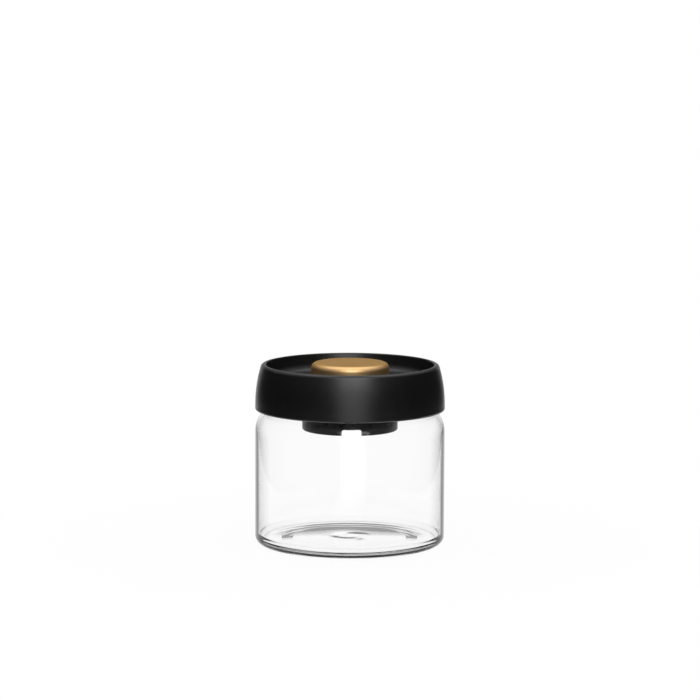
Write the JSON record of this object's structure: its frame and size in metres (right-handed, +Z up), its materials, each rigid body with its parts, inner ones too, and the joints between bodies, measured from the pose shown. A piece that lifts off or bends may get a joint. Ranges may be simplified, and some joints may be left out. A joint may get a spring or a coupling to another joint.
{
  "type": "vacuum canister",
  "caption": "Clear glass storage canister with a black press-pump lid: pressing the gold button draws air out, twisting it lets air back in.",
  "frame": {"origin": "middle of the foot, on the surface it stands on", "axes": "+Z up along the axis of the jar; the front notch of the pump housing faces -Y"},
  "size_m": [0.1, 0.1, 0.096],
  "materials": {
    "clear_glass": "polished",
    "black_plastic": "satin",
    "gold_aluminium": "satin gold anodised",
    "dark_silicone": "soft",
    "spring_steel": "bright",
    "filter_mesh": "woven",
    "white_plastic": "satin"
  },
  "bodies": {
    "jar": {"glass_jar": "clear_glass"},
    "lid": {"lid_shell": "black_plastic", "inner_lid": "black_plastic", "lid_gasket": "dark_silicone", "pump_cylinder": "black_plastic", "flange_seal": "dark_silicone", "flange_screws": "spring_steel", "pump_base": "black_plastic", "base_seal": "dark_silicone", "inlet_flap": "dark_silicone", "spring_seat": "spring_steel", "return_spring": "spring_steel", "inlet_filter": "filter_mesh", "filter_ring": "black_plastic"},
    "release": {"release_stem": "white_plastic", "stem_seals": "dark_silicone", "stem_clip": "spring_steel"},
    "plunger": {"plunger": "black_plastic", "plunger_seal": "dark_silicone", "piston_seal": "dark_silicone", "button_cap": "gold_aluminium"}
  },
  "joints": [
    {"name": "lid_lift", "type": "slide", "parent": "jar", "child": "lid", "axis": [0, 0, 1], "range_m": [0, 0.04]},
    {"name": "button_twist", "type": "hinge", "parent": "lid", "child": "release", "pos_m": [0, 0, 0.066], "axis": [0, 0, 1], "range_deg": [0, 60]},
    {"name": "button_press", "type": "slide", "parent": "release", "child": "plunger", "axis": [0, 0, -1], "range_m": [0, 0.009], "stiffness_N_per_m": 1000, "springref_m": -0.005, "deforming": ["return_spring"]}
  ]
}
